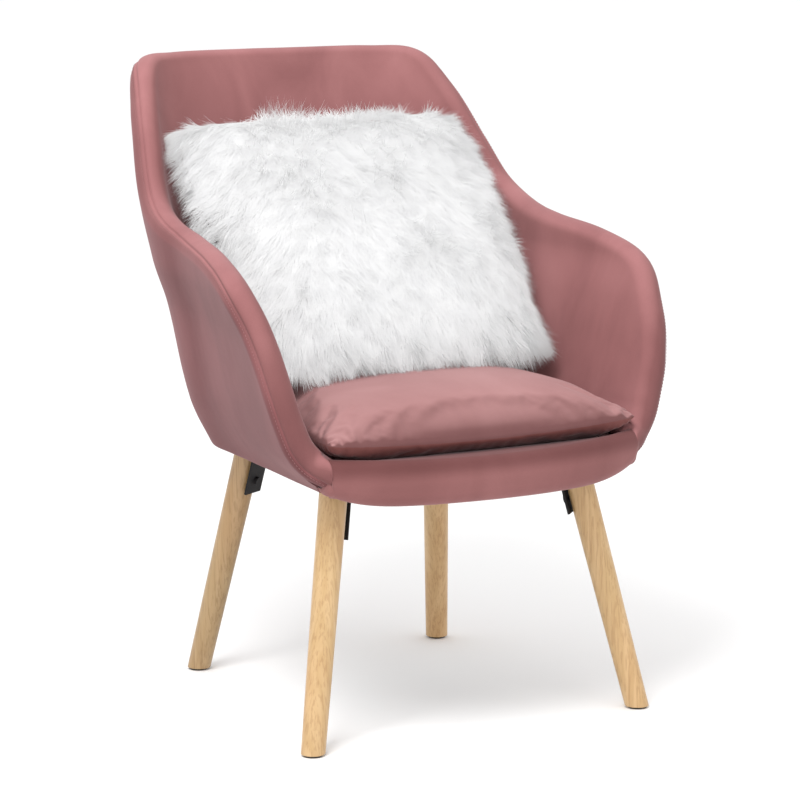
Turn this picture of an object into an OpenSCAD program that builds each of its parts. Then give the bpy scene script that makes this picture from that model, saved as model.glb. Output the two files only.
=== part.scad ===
// Upholstered tub armchair on four splayed wooden legs, with a loose seat cushion and a loose
// furry pillow. Millimetres, +Z up, the seat faces -Y. The origin is on the floor under the
// middle of the chair. The padded shell is one curved surface that bends round the seat. A place
// on it is given by [turn, height]: turn runs from 0 at the front of an arm, through 1 where the
// side starts to curve, to 2 at the middle of the back.

/* [Shell] */
// Half width of the middle of the shell at the base
base_half_w = 190; // [186:1:194]
// Half width just above the seat frame
hip_half_w = 222; // [218:1:228]
// Half width at the height of a resting forearm
elbow_half_w = 251; // [247:1:256]
// Half width at the top of the arms
arm_half_w = 269; // [266:1:273]
// Half width at the widest part of the back
shoulder_half_w = 277; // [274:1:281]
// Half width that the sides of the back aim for at its top
top_half_w = 250; // [246:1:254]
// Height of the underside of the side covers
base_z = 345; // [343:1:348]
// Height of the middle of the top edge roll
back_top_z = 838; // [832:1:844]
// Radius of the padded roll along the edge of the shell
roll_r = 20; // [19:0.5:21]
// Extra fullness of the padding inside the back
back_fullness = 12; // [6:1:14]

/* [Covers and padding] */
// Thickness of the velvet covers with their lining
cover_t = 1.8; // [1.5:0.1:2]
// Space between a cover and the foam under it
cover_gap = 0.3; // [0.2:0.1:0.5]
// Half of the space left inside the shell for the steel frame
core_half = 8.4; // [8.2:0.1:9]
// Angle round the edge roll, towards the outside, where the two covers are sewn over the arms
arm_seam = 42; // [36:1:50]
// The same angle up the sides of the back
side_seam = 8; // [4:1:20]

/* [Steel frame] */
// Radius of the hoop tube inside the edge roll
hoop_r = 6.5; // [6:0.5:7]
// Radius of the other frame tubes
tube_r = 6; // [5:0.5:6.5]

/* [Seat] */
// Height of the underside of the plywood seat board
board_z = 338; // [338:0.5:339]
// Thickness of the plywood seat board
board_t = 15; // [12:1:15]
// Height of the top of the seat deck
deck_z = 374; // [373:0.5:375]
// Furthest forward point of the front panel
front_y = -352; // [-354:1:-350]
// Lowest point of the front panel
panel_low_z = 320; // [318:1:322]
// Top of the front panel
panel_top_z = 380; // [378:1:381]

/* [Seat cushion] */
// Half width at the front edge
cushion_front_half_w = 234; // [228:1:235]
// Half width at the rear edge
cushion_rear_half_w = 176; // [170:1:178]
// Front edge
cushion_front_y = -300; // [-304:1:-296]
// Rear edge
cushion_rear_y = 95; // [86:1:97]
// Height of the sewn edge
cushion_edge_z = 403; // [400:1:406]
// Height of the crown
cushion_top_z = 456; // [450:1:458]

/* [Pillow] */
// Half of the width between the side seams
pillow_half_w = 218; // [205:1:220]
// Half of the height between the top and bottom seams
pillow_half_h = 211; // [200:1:212]
// Half of the thickness in the middle
pillow_half_t = 72; // [60:1:75]
// Lean back from upright, in degrees
pillow_lean = 46; // [45:1:47]
// Middle of the pillow, from the middle of the chair towards the back
pillow_y = 54; // [50:1:55]
// Height of the middle of the pillow
pillow_z = 618; // [617:1:622]

/* [Legs] */
// Radius of a leg at the top
leg_top_r = 19; // [18:0.5:20]
// Radius of a leg at the floor
leg_foot_r = 15.5; // [14:0.5:16]
// Where a front foot stands, to the side and towards the back
front_foot = [245, -288]; // [-400:1:400]
// Where the top of a front leg meets the seat
front_leg_head = [181, -224]; // [-400:1:400]
// Where a rear foot stands
rear_foot = [192, 177]; // [-400:1:400]
// Where the top of a rear leg meets the seat
rear_leg_head = [146, 98]; // [-400:1:400]
// Thickness of the steel of the leg brackets
bracket_t = 3; // [2.5:0.5:3]
// Width of a leg bracket
bracket_w = 36; // [32:1:40]
// Length of a bracket's tongue along the leg
tongue_l = 66; // [60:1:70]
// Thickness of the felt pad under each leg
glide_t = 3; // [2:0.5:4]

/* [Hidden] */
$fn = 48;

// Each table holds [height, value] pairs, joined by a smooth curve.
half_width = [[345, base_half_w], [410, hip_half_w], [540, elbow_half_w], [600, arm_half_w],
              [700, shoulder_half_w], [860, top_half_w]];
// Where the straight side ends and the rear curve starts
curve_start_y = [[345, 50], [450, 35], [600, 30], [730, 72], [860, 147]];
// The middle of the back
back_y = [[345, 126], [450, 165], [600, 215], [730, 275], [860, 345]];
// How square the rear corners are: 2 is an ellipse
squareness = [[345, 4], [450, 3.4], [600, 3], [720, 2.9], [860, 3.3]];
// How fast the arms spread towards the front
splay = [[345, 0.03], [384, 0.13], [420, 0.155], [550, 0.2], [650, 0.21], [860, 0.21]];
splay_ease = 60;
front_limit_y = -322;

// The edge roll's middle line as [turn, height], from the bottom front of an arm, over the arm,
// up the side of the back and along the top to its middle
edge_line = [[0.085, 366], [0.13, 383], [0.155, 425], [0.18, 473], [0.245, 527], [0.385, 583],
             [0.62, 609], [0.88, 621], [1.06, 634], [1.20, 665], [1.275, 723], [1.335, 790],
             [1.405, back_top_z - 5], [1.56, back_top_z], [1.78, back_top_z], [2, back_top_z]];
// The turn at which each of those points' strip of fabric reaches the base
base_turn = [0.2, 0.21, 0.23, 0.28, 0.36, 0.5, 0.7, 0.93, 1.12, 1.35, 1.5, 1.62, 1.72, 1.8,
             1.9, 2];
edge_n = len(edge_line) - 1;
// Where the cover seam lies round the roll, by the number of the point above
seam_line = [[0, arm_seam], [6, arm_seam], [8, 30], [9.5, side_seam], [11.5, side_seam],
             [13, arm_seam], [15, arm_seam]];
strips = 30;
body_rows = 7;
roll_step = 22.5;

foam_r = roll_r - cover_t - cover_gap;
board_top = board_z + board_t;
velvet = [0.68, 0.44, 0.44];
velvet_dark = [0.55, 0.34, 0.35];
wood = [0.85, 0.72, 0.5];
steel = [0.12, 0.12, 0.13];
foam = [0.93, 0.88, 0.7];

// ---- Curves -------------------------------------------------------------------------------

function piece_at(table, x, i = 0) =
    (i >= len(table) - 2 || x < table[i + 1][0]) ? i : piece_at(table, x, i + 1);
function slope_at(table, i) =
    let (lo = max(0, i - 1), hi = min(len(table) - 1, i + 1))
    (table[hi][1] - table[lo][1]) / (table[hi][0] - table[lo][0]);
// A smooth curve through the table's points
function smooth_at(table, x) =
    let (i = piece_at(table, x), step = table[i + 1][0] - table[i][0], t = (x - table[i][0]) / step)
    (2 * t ^ 3 - 3 * t ^ 2 + 1) * table[i][1] + (t ^ 3 - 2 * t ^ 2 + t) * step * slope_at(table, i)
    + (3 * t ^ 2 - 2 * t ^ 3) * table[i + 1][1] + (t ^ 3 - t ^ 2) * step * slope_at(table, i + 1);
function unit(v) = v / norm(v);
function numbered(list) = [for (i = [0 : len(list) - 1]) [i, list[i]]];
function ramp(x, lo, hi) = let (t = min(1, max(0, (x - lo) / (hi - lo)))) t * t * (3 - 2 * t);

// ---- The shell's middle surface -----------------------------------------------------------

function shell_at(turn, z) =
    let (w = smooth_at(half_width, z), y0 = smooth_at(curve_start_y, z))
    turn < 1
    ? let (t = (y0 - front_limit_y) * (1 - turn))
      [w + smooth_at(splay, z) * (sqrt(t ^ 2 + splay_ease ^ 2) - splay_ease), y0 - t, z]
    : let (d = smooth_at(back_y, z) - y0, n = smooth_at(squareness, z), q = 90 * (turn - 1),
           r = (abs(cos(q) / w) ^ n + abs(sin(q) / d) ^ n) ^ (-1 / n))
      [r * cos(q), y0 + r * sin(q), z];
small = 0.01;
function shell_normal(turn, z) =
    let (t = min(turn, 2 - small))
    unit(cross(shell_at(t + small, z) - shell_at(t - small, z),
               shell_at(t, z + 1) - shell_at(t, z - 1)));
function at_middle(turn, v) = turn > 1.9999 ? unit([0, v[1], v[2]]) : v;
function normal_at(turn, z) = at_middle(turn, shell_normal(turn, z));
function mirrored(p, side) = [side * p[0], p[1], p[2]];

// Angles are listed as if the seam were at 45 and are shifted to where it really is.
function roll_angle(u, v) =
    let (seam = smooth_at(seam_line, u))
    v <= 0 || v >= 90 ? v : v <= 45 ? v * seam / 45 : seam + (v - 45) * (90 - seam) / 45;
edge_table = numbered(edge_line);
base_table = numbered(base_turn);
function edge_at(u) = smooth_at(edge_table, u);
function edge_point(u) = let (e = edge_at(u)) shell_at(min(2, e[0]), e[1]);
// The way the roll runs. At its two ends it meets the front panel squarely.
function edge_tangent(u) =
    let (t = unit(edge_point(min(edge_n, u + 0.05)) - edge_point(max(0, u - 0.05))),
         f = ramp(u, 0, 1))
    u > edge_n - 0.01 ? [-1, 0, 0] : unit(f * t + (1 - f) * [1, 0, 0]);
// Strip j of 2 * strips + 1 runs from the left arm over the back to the right arm.
function strip_u(j) = edge_n * (1 - abs(j - strips) / strips);
function strip_side(j) = j < strips ? -1 : 1;

// A point of a layer at distance r from the shell's middle. v is the angle round the edge roll
// within -90 to 90, where 90 is outside. Past that it runs on down the face, 90 for its length.
function layer_point(j, v, r, floor_z, fullness) =
    let (u = strip_u(j), e = edge_at(u), side = strip_side(j), out = v > 0 ? 1 : -1,
         turn0 = min(2, e[0]))
    abs(v) <= 90
    ? let (along = edge_tangent(u), inward = unit(cross(along, normal_at(turn0, e[1]))),
           n = cross(inward, along), q = roll_angle(u, v))
      mirrored(edge_point(u) - r * cos(q) * inward + r * sin(q) * n, side)
    : let (s = (abs(v) - 90) / 90, low = min(floor_z, e[1] - 4 - 2 * min(1, u)),
           turn = min(2, turn0 + (smooth_at(base_table, u) - turn0) * (1 - (1 - s) ^ 1.6)),
           z = e[1] + (low - e[1]) * s,
           extra = out > 0 ? 0 : fullness * ramp(turn, 0.9, 1.6) * sin(180 * s) ^ 0.8)
      mirrored(shell_at(turn, z) + out * (r + extra) * normal_at(turn, z), side);

// ---- Polyhedra from grids -----------------------------------------------------------------

// Faces of a grid of nc columns of nr points each
function grid_faces(nc, nr, first, flip) =
    [for (c = [0 : nc - 2]) for (r = [0 : nr - 2])
        let (a = first + c * nr + r, b = a + 1, d = a + nr, e = d + 1)
        for (f = flip ? [[a, b, e], [a, e, d]] : [[a, e, b], [a, d, e]]) f];
function wall_faces(a, b, n, flip) =
    [for (i = [0 : n - 2])
        for (f = flip ? [[a[i], a[i + 1], b[i + 1]], [a[i], b[i + 1], b[i]]]
                      : [[a[i], b[i + 1], a[i + 1]], [a[i], b[i], b[i + 1]]]) f];
// A solid between two grids of points with the same rows and columns. The top grid lies on the
// side that the cross product of the column step and the row step points to.
module between_sheets(top, bottom) {
    nc = len(top);
    nr = len(top[0]);
    m = nc * nr;
    row_low = [for (c = [0 : nc - 1]) c * nr];
    row_high = [for (c = [0 : nc - 1]) c * nr + nr - 1];
    col_low = [for (r = [0 : nr - 1]) r];
    col_high = [for (r = [0 : nr - 1]) (nc - 1) * nr + r];
    polyhedron(
        points = concat([for (c = top) for (p = c) p], [for (c = bottom) for (p = c) p]),
        faces = concat(
            grid_faces(nc, nr, 0, true), grid_faces(nc, nr, m, false),
            wall_faces(row_low, [for (i = row_low) i + m], nc, true),
            wall_faces(row_high, [for (i = row_high) i + m], nc, false),
            wall_faces(col_low, [for (i = col_low) i + m], nr, false),
            wall_faces(col_high, [for (i = col_high) i + m], nr, true)),
        convexity = 6);
}
// A solid through closed rings of points, capped at both ends
module through_rings(rings) {
    n = len(rings[0]);
    last = (len(rings) - 1) * n;
    polyhedron(
        points = [for (ring = rings) for (p = ring) p],
        faces = concat(
            [for (k = [0 : len(rings) - 2]) for (i = [0 : n - 1])
                let (a = k * n + i, b = k * n + (i + 1) % n)
                for (f = [[a, b, b + n], [a, b + n, a + n]]) f],
            [[for (i = [n - 1 : -1 : 0]) i]], [[for (i = [0 : n - 1]) last + i]]),
        convexity = 6);
}

// ---- Layers of the shell ------------------------------------------------------------------

module layer(j_from, j_to, angles, r_top, r_bottom, floor_z, fullness) {
    between_sheets(
        [for (j = [j_from : j_to]) [for (v = angles) layer_point(j, v, r_top, floor_z, fullness)]],
        [for (j = [j_from : j_to]) [for (v = angles) layer_point(j, v, r_bottom, floor_z,
                                                                 fullness)]]);
}
face_angles = [for (k = [1 : body_rows]) 90 + 90 * k / body_rows];
// The outer padding stops just above the hem of the outer cover.
hem_angle = 174;
seam = 45;
outside_padding = concat([seam + 1.5, 67.5, 90], [for (k = [0 : body_rows - 2]) face_angles[k]],
                         [hem_angle]);
outside = concat(outside_padding, [180]);
inside = concat([for (k = [body_rows - 1 : -1 : 0]) -face_angles[k]],
                [-90, -3 * roll_step, -2 * roll_step, -roll_step, 0, seam / 2, seam]);
all_strips = 2 * strips;
arm_to = 12;
// The layers that go down inside the seat stop just above its deck.
tuck_z = deck_z + 2.5;

module cover_layer(angles, floor_z) {
    color(velvet) layer(0, all_strips, angles, roll_r, roll_r - cover_t, floor_z, back_fullness);
}
module foam_layer(j_from, j_to, angles, floor_z) {
    color(foam) layer(j_from, j_to, angles, foam_r, core_half, floor_z, back_fullness);
}
module outer_cover() cover_layer(outside, base_z);
module inner_cover() cover_layer(inside, tuck_z);
module left_arm_foam() foam_layer(0, arm_to, inside, tuck_z);
module back_foam() foam_layer(arm_to, all_strips - arm_to, inside, tuck_z);
module right_arm_foam() foam_layer(all_strips - arm_to, all_strips, inside, tuck_z);
module left_outer_padding() foam_layer(0, arm_to, outside_padding, base_z);
module outer_back_padding() foam_layer(arm_to, all_strips - arm_to, outside_padding, base_z);
module right_outer_padding() {
    foam_layer(all_strips - arm_to, all_strips, outside_padding, base_z);
}

// ---- Steel frame inside the shell ---------------------------------------------------------

round_sides = 8;
// A ring of points round a place on the shell, across the direction of travel
function ring_round(p, along, n, r) =
    let (side = cross(along, n))
    [for (i = [0 : round_sides - 1])
        p + r * (cos(360 * i / round_sides) * side + sin(360 * i / round_sides) * n)];
// A tube whose middle line runs through [side, turn, height] places on the shell
function place(q) = mirrored(shell_at(q[1], q[2]), q[0]);
function tube_rings(route, r) =
    [for (i = [0 : len(route) - 1])
        let (q = route[i], a = place(route[max(0, i - 1)]),
             b = place(route[min(len(route) - 1, i + 1)]))
        ring_round(place(q), unit(b - a), mirrored(normal_at(q[1], q[2]), q[0]), r)];
module shell_tube(route, r) {
    color(steel) through_rings(tube_rings(route, r));
}
hoop_from = 1;
hoop_steps = 26;
foot_t = 2.5;
tube_foot_z = board_top + 0.2 + foot_t + 0.2;
hoop_foot_turn = 0.2;
hoop_half = [for (i = [0 : hoop_steps]) let (e = edge_at(hoop_from + (edge_n - hoop_from) * i
                                                            / hoop_steps)) [min(2, e[0]), e[1]]];
module rim_hoop() {
    low = [hoop_foot_turn, tube_foot_z];
    shell_tube(concat([concat(-1, low)], [for (e = hoop_half) [-1, e[0], e[1]]],
                      [for (i = [hoop_steps - 1 : -1 : 0]) [1, hoop_half[i][0], hoop_half[i][1]]],
                      [concat(1, low)]),
               hoop_r);
}
waist_z = 505;
waist_from = 0.33;
waist_steps = 14;
waist_half = [for (i = [0 : waist_steps]) waist_from + (2 - waist_from) * i / waist_steps];
module waist_bar() {
    shell_tube(concat([for (t = waist_half) [-1, t, waist_z]],
                      [for (i = [waist_steps - 1 : -1 : 0]) [1, waist_half[i], waist_z]]), tube_r);
}
post_gap = 1;
// Upright tubes run from the seat board to the waist bar, and on to the hoop.
module post(side, turn, z_from, z_to) {
    steps = 5;
    shell_tube([for (i = [0 : steps]) [side, turn, z_from + (z_to - z_from) * i / steps]], tube_r);
}
back_post_turn = 1.72;
arm_post_turn = 0.6;
lower_post_top = waist_z - tube_r - post_gap;
upper_post_foot = waist_z + tube_r + post_gap;
module back_posts() {
    for (side = [-1, 1]) {
        post(side, back_post_turn, tube_foot_z, lower_post_top);
        post(side, back_post_turn, upper_post_foot, back_top_z - hoop_r - 2 * post_gap);
    }
}
module arm_posts() {
    for (side = [-1, 1]) {
        post(side, arm_post_turn, tube_foot_z, lower_post_top);
        post(side, arm_post_turn, upper_post_foot, 596);
    }
}
// Each tube that comes down to the board is welded to a foot plate, held by one screw.
module at_tube_feet() {
    for (side = [-1, 1]) for (turn = [hoop_foot_turn, arm_post_turn, back_post_turn]) {
        p = place([side, turn, tube_foot_z]);
        n = mirrored(normal_at(turn, tube_foot_z), side);
        translate([p[0], p[1], 0]) rotate(atan2(n[1], n[0])) children();
    }
}
foot_screw_x = -11;
module frame_feet() {
    at_tube_feet() color(steel) difference() {
        translate([-17, -11, board_top + 0.2]) cube([23, 22, foot_t]);
        translate([foot_screw_x, 0, board_top - 1]) cylinder(d = 4.6, h = foot_t + 2);
    }
}
module frame_feet_screws() {
    at_tube_feet() color([0.75, 0.75, 0.77]) translate([foot_screw_x, 0, 0]) {
        translate([0, 0, board_top + 0.2 + foot_t]) cylinder(d = 8, h = 1.2);
        translate([0, 0, board_z + 1]) cylinder(d = 4, h = board_t + foot_t - 0.5);
    }
}
// Elastic straps across the back, on the seat side of the posts
strap_half_w = 22;
module back_webbing() {
    rest = core_half - 0.4;
    steps = 12;
    for (z = [580, 660, 740])
        color([0.3, 0.3, 0.32]) between_sheets(
            [for (i = [-steps : steps]) strap_column(i / steps, z, -tube_r - 0.5)],
            [for (i = [-steps : steps]) strap_column(i / steps, z, -rest)]);
}
function strap_column(f, z, r) =
    [for (dz = [strap_half_w, -strap_half_w])
        let (turn = 2 - 0.62 * abs(f), side = f < 0 ? -1 : 1)
        mirrored(shell_at(turn, z + dz) + r * normal_at(turn, z + dz), side)];

// ---- Seat frame ---------------------------------------------------------------------------

board_front_y = -296;
rail_half_w = 185;
rail_t = 18;
// The edge of the shell's middle at a height, as a polygon, moved in by a margin
function shell_outline(z, margin, y_front) =
    let (side = concat([[shell_at(0.08, z)[0] - margin, y_front]],
                       [for (t = [0.3 : 0.1 : 1.9]) let (p = shell_at(t, z), n = normal_at(t, z))
                           [p[0] - margin * n[0], p[1] - margin * n[1]]],
                       [[0, shell_at(2, z)[1] - margin]]))
    concat(side, [for (i = [len(side) - 2 : -1 : 0]) [-side[i][0], side[i][1]]]);
module board_window() {
    translate([-130, -225]) square([260, 265]);
}
leg_specs = [[front_foot, front_leg_head, -1], [front_foot, front_leg_head, 1],
             [rear_foot, rear_leg_head, -1], [rear_foot, rear_leg_head, 1]];
flange_z = board_z - 5;
// The frame of a leg: its origin under the leg's top, and +X points away from where it leans
module at_leg_head(spec) {
    away = [spec[2] * (spec[1][0] - spec[0][0]), spec[1][1] - spec[0][1]];
    translate([spec[2] * spec[1][0], spec[1][1], 0]) rotate(atan2(away[1], away[0])) children();
}
bolt_spots = [[38, 11], [38, -11], [54, 0]];
module bolt_holes(r, z, h) {
    for (spec = leg_specs) at_leg_head(spec)
        for (p = bolt_spots) translate([p[0], p[1], z]) cylinder(r = r, h = h);
}
module seat_board() {
    color([0.8, 0.65, 0.42]) difference() {
        translate([0, 0, board_z]) linear_extrude(board_t) difference() {
            polygon(shell_outline(board_z + 14, -1, board_front_y));
            board_window();
        }
        bolt_holes(3.3, board_z - 1, board_t + 2);
        at_tube_feet() translate([foot_screw_x, 0, board_z - 1]) cylinder(d = 4.2, h = board_t + 2);
    }
}
module front_rail() {
    color([0.8, 0.65, 0.42])
        translate([-rail_half_w, board_front_y + 1, board_top + 0.2])
            cube([2 * rail_half_w, rail_t, deck_z - deck_cover_t - board_top - 0.6]);
}
// Glued blocks that hold the front rail upright
module rail_blocks() {
    block = 17;
    for (x = [-150, 0, 150])
        color([0.8, 0.65, 0.42])
            translate([x + block, board_front_y + 1.2 + rail_t, board_top + 0.2])
                rotate([0, -90, 0]) linear_extrude(2 * block)
                    polygon([[0, 0], [block - 3, 0], [0, block]]);
}
strap_t = 1.4;
strap_w = 48;
module seat_webbing_long() {
    for (x = [-90, -30, 30, 90])
        color([0.3, 0.3, 0.32]) translate([x - strap_w / 2, -245, board_top + 0.2])
            cube([strap_w, 305, strap_t]);
}
module seat_webbing_cross() {
    for (y = [-195, -135, -75, -15])
        color([0.3, 0.3, 0.32]) translate([-150, y - strap_w / 2, board_top + 0.4 + strap_t])
            cube([300, strap_w, strap_t]);
}
deck_cover_t = 1.5;
module seat_deck_foam() {
    foam_z = board_top + 1 + 2 * strap_t;
    color(foam) translate([0, 0, foam_z])
        linear_extrude(deck_z - deck_cover_t - 0.3 - foam_z)
            polygon(shell_outline(board_z + 14, 24, board_front_y + rail_t + 22));
}
module seat_deck_cover() {
    color(velvet_dark) translate([0, 0, deck_z - deck_cover_t]) linear_extrude(deck_cover_t)
        polygon(shell_outline(board_z + 14, 16, board_front_y + 8));
}

// ---- Front panel --------------------------------------------------------------------------

panel_half_w = 221.5;
panel_steps = 9;
low_r = 19;
high_r = 14;
lip_y = board_front_y + 8;
function panel_front(x) = front_y + 42 * (abs(x) / panel_half_w) ^ 2.2;
function panel_low(x) = panel_low_z + 17 * (abs(x) / panel_half_w) ^ 3.6;
function panel_top(x) = panel_top_z + 5 * (x / panel_half_w) ^ 2;
// The panel's outline from its underside round the front to its top, moved in by a margin
function panel_outline(x, margin, back_y, lip_z) =
    let (f = panel_front(x), low = panel_low(x), a = low_r - margin, b = high_r - margin)
    concat([[x, back_y, lip_z + margin]],
           [for (q = [-75 : 25 : 0]) [x, f + low_r - a * cos(q), low + low_r + a * sin(q)]],
           [for (q = [0 : 22.5 : 90]) [x, f + high_r - b * cos(q), panel_top(x) - high_r
                                                                  + b * sin(q)]],
           [[x, back_y, deck_z + 3 - margin]]);
panel_stations = [for (i = [-panel_steps : panel_steps]) panel_half_w * i / panel_steps];
module front_panel_cover() {
    color(velvet) between_sheets(
        [for (x = panel_stations) panel_outline(x, 0, lip_y, board_z - 4)],
        [for (x = panel_stations) panel_outline(x, cover_t, lip_y, board_z - 4)]);
}
module front_panel_foam() {
    inset = cover_t + cover_gap;
    end = panel_half_w - 4;
    color(foam) through_rings([for (x = panel_stations)
        panel_outline(max(-end, min(end, x)), inset, board_front_y - 0.3, board_z - 2.5)]);
}
module dust_cover() {
    color([0.1, 0.1, 0.1]) difference() {
        translate([0, 0, board_z - 1.4]) linear_extrude(0.9)
            polygon(shell_outline(board_z + 14, 11, lip_y + 4));
        bolt_holes(3.6, board_z - 3, 4);
    }
}

// ---- Legs ---------------------------------------------------------------------------------

leg_top_z = flange_z - 0.3;
module leg(spec) {
    head = spec[2] * spec[1][0];
    foot = spec[2] * spec[0][0];
    run = [head - foot, spec[1][1] - spec[0][1], leg_top_z];
    past = 30;
    color(wood) difference() {
        intersection() {
            translate([foot, spec[0][1], 0]) point_along(run) translate([0, 0, -past]) rotate(90)
                cylinder(h = norm(run) + 2 * past, r1 = leg_foot_r, r2 = leg_top_r);
            translate([-400, -400, glide_t]) cube([800, 800, leg_top_z - glide_t]);
        }
        leg_bolt_places(spec) cylinder(d = 9.4, h = 24);
    }
}
// Turns +Z to point along v
module point_along(v) {
    rotate([0, acos(v[2] / norm(v)), atan2(v[1], v[0])]) children();
}
// The lean of a leg, and the frame of its bolts: +Z runs outwards into the leg
function lean(spec) = atan2(norm(spec[0] - spec[1]), leg_top_z);
bolt_drops = [18, 47];
module leg_bolt_places(spec) {
    for (drop = bolt_drops) tongue_frame(spec)
        translate([leg_top_r + 0.2, 0, -drop]) rotate([0, -90, 0]) children();
}
// +X points inwards, square to the leg, and -Z runs down along the leg
module tongue_frame(spec) {
    at_leg_head(spec) translate([0, 0, leg_top_z]) rotate([0, lean(spec), 0]) children();
}
module front_left_leg() leg(leg_specs[0]);
module front_right_leg() leg(leg_specs[1]);
module rear_left_leg() leg(leg_specs[2]);
module rear_right_leg() leg(leg_specs[3]);

// A steel flange under the board and a tongue down the inner face of the leg, bent from one strip
flange_out = 14;
flange_in = 66;
module bracket(spec) {
    near = leg_top_r + 0.2;
    far = near + bracket_t;
    top = flange_z + bracket_t;
    side_view = [[-flange_out, flange_z], tongue_top(spec, near), tongue_place(spec, near, -tongue_l),
        tongue_place(spec, far, -tongue_l), tongue_top(spec, far), [flange_in, flange_z],
        [flange_in, top], [-flange_out, top]];
    color(steel) difference() {
        at_leg_head(spec) translate([0, bracket_w / 2, 0]) rotate([90, 0, 0])
            linear_extrude(height = bracket_w) polygon(side_view);
        at_leg_head(spec) for (p = bolt_spots)
            translate([p[0], p[1], flange_z - 1]) cylinder(r = 3.3, h = bracket_t + 2);
        leg_bolt_places(spec) translate([0, 0, -bracket_t - 1]) cylinder(r = 3.3,
                                                                         h = bracket_t + 2);
    }
}
// In the side view of a bracket: a place in the tongue's frame, and where the tongue at x from
// the leg's axis meets the flange
function tongue_place(spec, x, z) = [x * cos(lean(spec)) + z * sin(lean(spec)),
                                     leg_top_z - x * sin(lean(spec)) + z * cos(lean(spec))];
function tongue_top(spec, x) =
    tongue_place(spec, x, (flange_z - leg_top_z + x * sin(lean(spec))) / cos(lean(spec)));
module front_left_bracket() bracket(leg_specs[0]);
module front_right_bracket() bracket(leg_specs[1]);
module rear_left_bracket() bracket(leg_specs[2]);
module rear_right_bracket() bracket(leg_specs[3]);
module bracket_screws() {
    head_h = 3.2;
    for (spec = leg_specs) at_leg_head(spec) for (p = bolt_spots)
        color(steel) translate([p[0], p[1], 0]) {
            translate([0, 0, flange_z - head_h]) cylinder(d = 11, h = head_h);
            translate([0, 0, flange_z - 0.5]) cylinder(d = 6, h = board_top - flange_z - 0.5);
        }
}
module leg_bolts() {
    head_h = 4.5;
    for (spec = leg_specs) leg_bolt_places(spec) color(steel) {
        translate([0, 0, -bracket_t - head_h]) cylinder(d = 11.5, h = head_h);
        translate([0, 0, -bracket_t - 0.5]) cylinder(d = 6, h = 24);
    }
}
// Threaded sleeves pressed into the legs for the bolts
module leg_inserts() {
    for (spec = leg_specs) leg_bolt_places(spec)
        color([0.8, 0.7, 0.45]) translate([0, 0, 1.5]) difference() {
            cylinder(d = 9, h = 19);
            translate([0, 0, -1]) cylinder(d = 6.4, h = 21);
        }
}
module foot_glides() {
    for (spec = leg_specs)
        color([0.25, 0.23, 0.22]) translate([spec[2] * spec[0][0], spec[0][1], 0])
            cylinder(d = 2 * leg_foot_r - 6, h = glide_t);
}

// ---- Loose cushion and pillow -------------------------------------------------------------

// Both are sewn from two panels that meet at a knife edge. A place on a panel is [s, t], each
// from -1 to 1, and the corners are drawn in a little.
cushion_steps = 7;
spread = [for (i = [-cushion_steps : cushion_steps]) sin(90 * i / cushion_steps)];
function draw_in(own, other, k) = own * sqrt(1 - k * other ^ 2 / 2);
function swell(s, t, p) = sqrt((1 - abs(s) ^ p) * (1 - abs(t) ^ p));
edge_gap = 0.4;

cushion_corner = 0.1;
cushion_crown_power = 4;
cushion_base_power = 5;
cushion_rise = cushion_top_z - cushion_edge_z - cover_t - edge_gap;
cushion_drop = cushion_edge_z - deck_z - 0.6 - cover_t - edge_gap;
function cushion_xy(s, t, inset) =
    let (mid = (cushion_rear_y + cushion_front_y) / 2, half = (cushion_rear_y - cushion_front_y) / 2,
         y = mid + draw_in(t, s, cushion_corner) * (half - inset),
         f = (y - cushion_front_y) / (2 * half),
         w = cushion_front_half_w + (cushion_rear_half_w - cushion_front_half_w) * f)
    [draw_in(s, t, cushion_corner) * (w - inset), y];
function cushion_sheet(inset, base, rise, p) =
    [for (s = spread) [for (t = spread) let (q = cushion_xy(s, t, inset))
        [q[0], q[1], cushion_edge_z + base + rise * swell(s, t, p)]]];
module cushion_top_panel() {
    color(velvet) between_sheets(
        cushion_sheet(0, edge_gap + cover_t, cushion_rise, cushion_crown_power),
        cushion_sheet(0, edge_gap, cushion_rise, cushion_crown_power));
}
module cushion_bottom_panel() {
    color(velvet) between_sheets(
        cushion_sheet(0, -edge_gap, -cushion_drop, cushion_base_power),
        cushion_sheet(0, -edge_gap - cover_t, -cushion_drop, cushion_base_power));
}
foam_inset = 4;
module cushion_foam() {
    color(foam) between_sheets(
        cushion_sheet(foam_inset, 1, cushion_rise - 2, cushion_crown_power),
        cushion_sheet(foam_inset, -1, 1.5 - cushion_drop, cushion_base_power));
}

pillow_shift = 3;
pillow_corner = 0.1;
pillow_power = 3.2;
fur_t = 4;
module pillow_frame() {
    translate([pillow_shift, pillow_y, pillow_z]) rotate([-pillow_lean, 0, 0]) children();
}
function pillow_sheet(inset, base, rise) =
    [for (s = spread) [for (t = spread)
        [draw_in(s, t, pillow_corner) * (pillow_half_w - inset), base + rise * swell(s, t,
                                                                               pillow_power),
         draw_in(t, s, pillow_corner) * (pillow_half_h - inset)]]];
module pillow_fur_panel() {
    color([0.96, 0.96, 0.95]) pillow_frame() between_sheets(
        pillow_sheet(0, -edge_gap - fur_t, fur_t - pillow_half_t),
        pillow_sheet(0, -edge_gap, fur_t - pillow_half_t));
}
module pillow_back_panel() {
    color([0.93, 0.93, 0.92]) pillow_frame() between_sheets(
        pillow_sheet(0, edge_gap, pillow_half_t - cover_t),
        pillow_sheet(0, edge_gap + cover_t, pillow_half_t - cover_t));
}
module pillow_insert() {
    color([0.95, 0.95, 0.95]) pillow_frame() between_sheets(
        pillow_sheet(foam_inset, -1, 2 + fur_t - pillow_half_t),
        pillow_sheet(foam_inset, 1, pillow_half_t - cover_t - 2));
}

// ---- Zips ---------------------------------------------------------------------------------

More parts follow.
